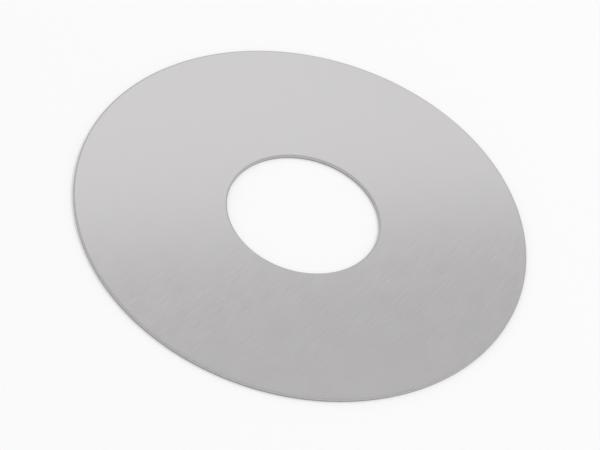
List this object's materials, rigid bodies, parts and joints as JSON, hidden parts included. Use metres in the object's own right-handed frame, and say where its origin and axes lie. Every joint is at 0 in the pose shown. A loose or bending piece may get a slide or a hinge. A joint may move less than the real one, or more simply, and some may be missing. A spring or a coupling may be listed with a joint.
{
  "type": "shim ring",
  "caption": "Flat, thin spring-steel shim ring with a plain round bore, to slip over a shaft and take up height in a stack between two flat faces.",
  "frame": {"origin": "centre of the bore, in the plane of the lower face, on which the ring lies", "axes": "+Z along the bore, out of the upper face, whose edges have the rounded die roll; +X and +Y lie across the ring, which is round, so neither has a feature of its own"},
  "size_m": [0.036, 0.036, 0.0003],
  "materials": {
    "steel": "bright cold-rolled spring steel, satin, with a fine rolling grain and tumbled edges"
  },
  "bodies": {
    "root": {"shim_ring": "steel"}
  },
  "joints": []
}
